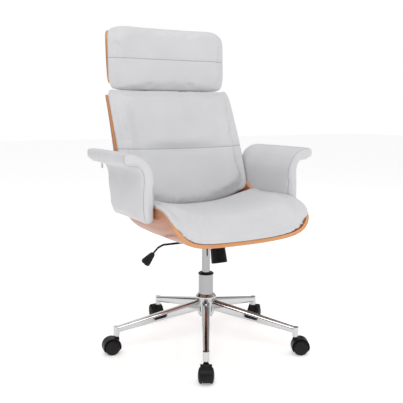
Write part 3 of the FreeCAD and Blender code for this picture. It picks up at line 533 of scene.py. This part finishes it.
def fillPad(name, points, faces, pad, material, gauge, body, replaced):
    # remeshed evenly, blown up as cloth, held where it lies on the shell, then subdivided once
    piece = makePiece(name, points, faces, [material])
    remesh = piece.modifiers.new("even", "REMESH")
    remesh.mode = "VOXEL"
    remesh.voxel_size = pad["voxel"]
    depsgraph = bpy.context.evaluated_depsgraph_get()
    even = bpy.data.meshes.new_from_object(piece.evaluated_get(depsgraph))
    piece.modifiers.clear()
    piece.data = even
    even.name = name
    if not even.materials:
        even.materials.append(material)
    start = readPoints(even)
    moved = start.copy()
    swelling = piece.modifiers.new("cloth", "CLOTH")
    swelling.settings.quality = cloth["quality"]
    swelling.settings.mass = cloth["mass"]
    swelling.settings.tension_stiffness = cloth["stretch"]
    swelling.settings.compression_stiffness = cloth["stretch"]
    swelling.settings.bending_stiffness = cloth["bend"]
    swelling.settings.use_pressure = True
    swelling.settings.uniform_pressure_force = pad["pressure"]
    swelling.settings.effector_weights.gravity = 0
    swelling.collision_settings.use_collision = False
    swelling.collision_settings.use_self_collision = False
    swelling.point_cache.frame_start = 1
    swelling.point_cache.frame_end = cloth["moments"]
    for moment in range(1, cloth["moments"] + 1):
        bpy.context.scene.frame_set(moment)
    depsgraph = bpy.context.evaluated_depsgraph_get()
    blown = bpy.data.meshes.new_from_object(piece.evaluated_get(depsgraph))
    piece.modifiers.clear()
    moved = readPoints(blown)
    bpy.data.meshes.remove(blown)
    bpy.context.scene.frame_set(1)
    step = moved - start
    length = np.linalg.norm(step, axis=1, keepdims=True)
    step *= np.minimum(1, pad["limit"] / np.maximum(length, 1e-9))
    moved = start + step
    if gauge is not None:
        height, normals = standOff(start, gauge)
        free = np.clip((height - 0.002) / 0.016, 0, 1)[:, None]
        moved = start + (moved - start) * free
    if "dress" in pad:
        moved = pad["dress"](moved)
    even.vertices.foreach_set("co", moved.astype(np.float32).ravel())
    even.polygons.foreach_set("use_smooth", np.ones(len(even.polygons), bool))
    even.update()
    smooth = piece.modifiers.new("smooth", "SUBSURF")
    smooth.levels = 1
    smooth.render_levels = 1
    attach(piece, body)
    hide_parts(replaced)
    print(name, len(even.vertices), "points")
    return piece


def dressBack(points):
    # a sewn line pulls the front in; it is deepest in the middle, where a soft fold gathers
    x, y, z = points.T
    level = z - 0.662 - 0.10 * x ** 2
    front = np.clip((0.235 - y) / 0.03, 0, 1)
    middle = np.exp(-(x / 0.13) ** 4)
    y = y + front * (0.0022 * np.exp(-(level / 0.0035) ** 2)
                     + 0.0065 * middle * np.exp(-(level / 0.014) ** 2))
    y = y - front * 0.006 * middle * np.exp(-((level - 0.032) / 0.022) ** 2)
    valley = np.exp(-((np.abs(x) - 0.165) / 0.020) ** 2) * np.clip((z - 0.55) / 0.1, 0, 1)
    y = y + front * 0.007 * valley
    return np.stack([x, y, z], -1)


def dressHead(points):
    x, y, z = points.T
    level = z - 0.975 - 0.02 * x ** 2
    front = np.clip((0.30 - y) / 0.02, 0, 1)
    y = y + front * 0.0024 * np.exp(-(level / 0.004) ** 2)
    return np.stack([x, y, z], -1)


backPad["dress"] = dressBack
headPad["dress"] = dressHead
seatGauge = shellGauge(shellPoint, 13)
headGauge = shellGauge(headPoint, 4)
for name, place, pad, cover, gauge, replaced in (
        ("seatCushion", shellPlace(seatPad), seatPad, coverPlain, seatGauge, "seat_cushion"),
        ("backCushion", shellPlace(backPad), backPad, coverBack, seatGauge, "back_cushion"),
        ("headrestCushion", headPlace, headPad, coverHead, headGauge, "headrest_cushion")):
    fillPad(name, *pillow(place, pad["corner"], pad["edge"]), pad, cover, gauge, "seat", replaced)
print("cushions made")

# ---- arms

armPad = {
    "hollow": [(284, 456), (283.5, 500), (282, 550), (281, 592), (282.5, 608), (286, 620),
               (294, 628.5), (312, 632), (351, 632)],
    "crown": [(251.6, 456), (251.3, 500), (250.6, 550), (251, 592), (257, 617), (270, 640),
              (290, 658), (318, 669.5), (351, 673.5)],
    "front": -136, "rearLow": 152, "rearHigh": 210, "lowHeight": 456, "highHeight": 674,
    "corner": 14, "edge": 6, "voxel": 0.005, "pressure": 3.0, "limit": 0.004, "fill": 0.9}


def armPlace(side):
    def place(a, t, b):
        # between the hollow line and the crown line, drawn out from the front edge to the rear edge
        pad = armPad
        f = 4 * (t + 1)
        low = alongLine(pad["hollow"], f)
        high = alongLine(pad["crown"], f)
        x, z = np.moveaxis(low + (high - low) * ((b + 1) / 2)[..., None], -1, 0)
        lean = (z - pad["lowHeight"]) / (pad["highHeight"] - pad["lowHeight"])
        rear = pad["rearLow"] + (pad["rearHigh"] - pad["rearLow"]) * lean
        y = pad["front"] + (rear - pad["front"]) * (a + 1) / 2
        return np.stack([side * x, y, z], -1)
    return place


for side, word in ((1, "left"), (-1, "right")):
    points, faces = pillow(armPlace(side), armPad["corner"], armPad["edge"], 60, True)
    fillPad("armPad" + word.capitalize(), points, faces, armPad, coverArm, None, "seat", "arm_pad_" + word)
print("soft pieces made")

# ---- spring

springLook = {"coil": 11.4, "wire": 1.5, "turns": 7.2, "start": 11, "height": 44.6,
              "sides": 12, "steps": 260, "top": 57.1, "keep": 0.80}
knobTilt = math.radians(14.5)
knobWay = np.array([0, math.sin(knobTilt), math.cos(knobTilt)])
knobFoot = np.array([0, -88.7, 302.1])


def coilTube(look):
    # a helix about the knob's axis: a circle of the wire carried along it, with closed ends
    turn = np.linspace(0, 2 * np.pi * look["turns"], look["steps"])
    sideWay = np.array([1.0, 0, 0])
    backWay = np.cross(knobWay, sideWay)
    out = np.cos(turn)[:, None] * sideWay + np.sin(turn)[:, None] * backWay
    climb = look["start"] + look["height"] * np.linspace(0, 1, look["steps"])
    path = knobFoot + knobWay * climb[:, None] + out * look["coil"]
    ring = np.linspace(0, 2 * np.pi, look["sides"], endpoint=False)
    tube = path[:, None] + look["wire"] * (np.cos(ring)[None, :, None] * out[:, None]
                                           + np.sin(ring)[None, :, None] * knobWay)
    points = np.concatenate([tube.reshape(-1, 3), path[:1], path[-1:]]) * mm
    rows, sides = tube.shape[:2]
    index = np.arange(rows * sides).reshape(rows, sides)
    after = np.roll(index, -1, axis=1)
    faces = np.stack([index[:-1], after[:-1], after[1:], index[1:]], -1).reshape(-1, 4)
    caps = np.concatenate([
        np.stack([np.full(sides, rows * sides), after[0], index[0], index[0]], -1),
        np.stack([np.full(sides, rows * sides + 1), index[-1], after[-1], after[-1]], -1)])
    return points, faces, caps


points, faces, caps = coilTube(springLook)
mesh = bpy.data.meshes.new("tensionCoil")
turned = outward(points, faces)
capFaces = caps[:, :3] if turned is faces else caps[:, 2::-1]
mesh.from_pydata(points.tolist(), [], turned.tolist() + capFaces.tolist())
mesh.materials.append(steelMaterial)
mesh.polygons.foreach_set("use_smooth", np.ones(len(mesh.polygons), bool))
coilPiece = bpy.data.objects.new("tensionCoil", mesh)
bpy.context.scene.collection.objects.link(coilPiece)
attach(coilPiece, "lift")
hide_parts("tension_spring")
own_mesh(coilPiece)

# ---- finishes of the frame's own nodes

coreMaterial = plainMaterial("coreBoard", (0.45, 0.25, 0.12), 0.6, 0.0, 300, 0.2, 0.25, 0.0, (1, 6, 1))
finishes = {
    "star_base": chromeMaterial, "column_tube": shadedChromeMaterial, "gas_cylinder": shadedChromeMaterial,
    "piston_rod": steelMaterial, "column_collar": blackPlasticMaterial, "stem_sleeves": blackPlasticMaterial,
    "caster_stems": steelMaterial, "thrust_bearing": steelMaterial, "rod_clip": steelMaterial,
    "mech_housing": blackSteelMaterial, "tilt_axle": steelMaterial, "axle_bushes": blackPlasticMaterial,
    "valve_pin": steelMaterial, "lock_bar": steelMaterial, "lever_rod": blackSteelMaterial,
    "lever_grip": blackPlasticMaterial, "tension_bolt": steelMaterial, "tension_knob": blackPlasticMaterial,
    "seat_plate": blackSteelMaterial, "seat_screws": steelMaterial, "headrest_straps": blackSteelMaterial,
    "strap_screws": steelMaterial, "arm_bolts": steelMaterial, "zip_sliders": zipMaterial,
    "zip_tab_left": zipMaterial, "zip_tab_right": zipMaterial, "arm_core_left": coreMaterial,
    "arm_core_right": coreMaterial}
for number in range(1, casterCount + 1):
    finishes["caster_hood_%d" % number] = blackPlasticMaterial
    finishes["caster_axle_%d" % number] = blackPlasticMaterial
    finishes["caster_wheel_left_%d" % number] = treadMaterial
    finishes["caster_wheel_right_%d" % number] = treadMaterial
for name, material in finishes.items():
    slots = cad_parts[name].data.materials
    slots.clear()
    slots.append(material)
print("finishes given")

# ---- floor, lights and camera

room = {
    "floorSize": 30.0, "floorDrop": 0.0006, "floorColor": (0.95, 0.95, 0.95), "floorGlow": 0.30,
    "worldColor": (1.0, 1.0, 1.0, 1.0), "worldStrength": 1.0, "softStrength": 0.72,
    "screens": [(0.0, 0.70), (0.10, 0.05), (0.17, 0.04), (0.21, 1.0), (0.25, 0.45), (0.31, 0.08),
                (0.42, 0.05), (0.46, 0.60), (0.55, 0.95), (0.62, 0.10), (0.74, 0.70), (0.84, 0.08),
                (0.90, 0.55), (1.0, 0.70)]}
line = np.linspace(-room["floorSize"] / 2, room["floorSize"] / 2, 3)
p, q = np.meshgrid(line, line, indexing="ij")
floorPoints = np.stack([p, q, np.full_like(p, -room["floorDrop"])], -1).reshape(-1, 3)
floorMaterial = plainMaterial("paleFloor", room["floorColor"], 0.75, 0.0, 40, 0.01, 0.01)
floorShader = floorMaterial.node_tree.nodes["Principled BSDF"]
floorShader.inputs["Emission Color"].default_value = (1, 1, 1, 1)
floorShader.inputs["Emission Strength"].default_value = room["floorGlow"]
floor = makePiece("floor", floorPoints, gridFaces(3, 3), [floorMaterial])

bpy.context.scene.view_settings.view_transform = "Standard"
world = bpy.data.worlds.new("studio")
bpy.context.scene.world = world
world.use_nodes = True
# an even white backdrop; the light on the chair is a little weaker, and what shines sees dark and
# bright screens standing round the room, which is what gives bare metal its streaks
backdrop = world.node_tree.nodes["Background"]
backdrop.inputs[0].default_value = room["worldColor"]
backdrop.inputs[1].default_value = room["worldStrength"]
softLight = node(world, "Background", {0: room["worldColor"], 1: room["softStrength"]})
wayParts = node(world, "SeparateXYZ", {0: node(world, "TexCoord").outputs["Generated"]})
bearing = sums(world, "ARCTAN2", wayParts.outputs[0], wayParts.outputs[1])
turnShare = node(world, "MapRange", {"Value": bearing, "From Min": -math.pi, "From Max": math.pi}).outputs[0]
screens = ramp(world, turnShare, [(spot, (level, level, level)) for spot, level in room["screens"]])
screened = node(world, "Background", {"Color": screens})
rays = node(world, "LightPath")
lighting = node(world, "MixShader", {0: rays.outputs["Is Glossy Ray"], 1: softLight.outputs[0],
                                     2: screened.outputs[0]})
seen = node(world, "MixShader", {0: rays.outputs["Is Camera Ray"], 1: lighting.outputs[0],
                                 2: backdrop.outputs[0]})
link(world, seen.outputs[0], world.node_tree.nodes["World Output"].inputs[0])

softboxes = [
    {"name": "keyBox", "place": (-1.6, -2.4, 2.9), "aim": (0, 0, 0.55), "size": (1.8, 1.8), "power": 42},
    {"name": "fillBox", "place": (2.6, -1.6, 1.8), "aim": (0, 0, 0.5), "size": (1.6, 2.0), "power": 9},
    {"name": "topBox", "place": (0.2, 0.6, 3.2), "aim": (0, 0.1, 0.4), "size": (2.2, 2.2), "power": 14}]
for box in softboxes:
    lamp = bpy.data.lights.new(box["name"], "AREA")
    lamp.shape = "RECTANGLE"
    lamp.size, lamp.size_y = box["size"]
    lamp.energy = box["power"]
    holder = bpy.data.objects.new(box["name"], lamp)
    holder.location = box["place"]
    holder.rotation_euler = (Vector(box["aim"]) - Vector(box["place"])).to_track_quat("-Z", "Y").to_euler()
    bpy.context.scene.collection.objects.link(holder)

viewpoint = {"azimuth": -0.523, "distance": 2.0899, "height": 0.795, "yaw": 0.0075, "pitch": 0.1431,
             "roll": 0.0024, "lens": 56.28}
azimuth = viewpoint["azimuth"]
heading = azimuth + viewpoint["yaw"]
pitch = viewpoint["pitch"]
forward = Vector((-math.sin(heading) * math.cos(pitch), math.cos(heading) * math.cos(pitch),
                  -math.sin(pitch)))
right = Vector((math.cos(heading), math.sin(heading), 0))
upWay = right.cross(forward)
c, s = math.cos(viewpoint["roll"]), math.sin(viewpoint["roll"])
right, upWay = right * c + upWay * s, upWay * c - right * s
cameraData = bpy.data.cameras.new("camera")
cameraData.lens = viewpoint["lens"]
cameraData.sensor_width = 36
camera = bpy.data.objects.new("camera", cameraData)
turn = Matrix((right, upWay, -forward)).transposed().to_4x4()
place = Vector((math.sin(azimuth) * viewpoint["distance"], -math.cos(azimuth) * viewpoint["distance"],
                viewpoint["height"]))
camera.matrix_world = Matrix.Translation(place) @ turn
bpy.context.scene.collection.objects.link(camera)
bpy.context.scene.camera = camera

print("scene ready")
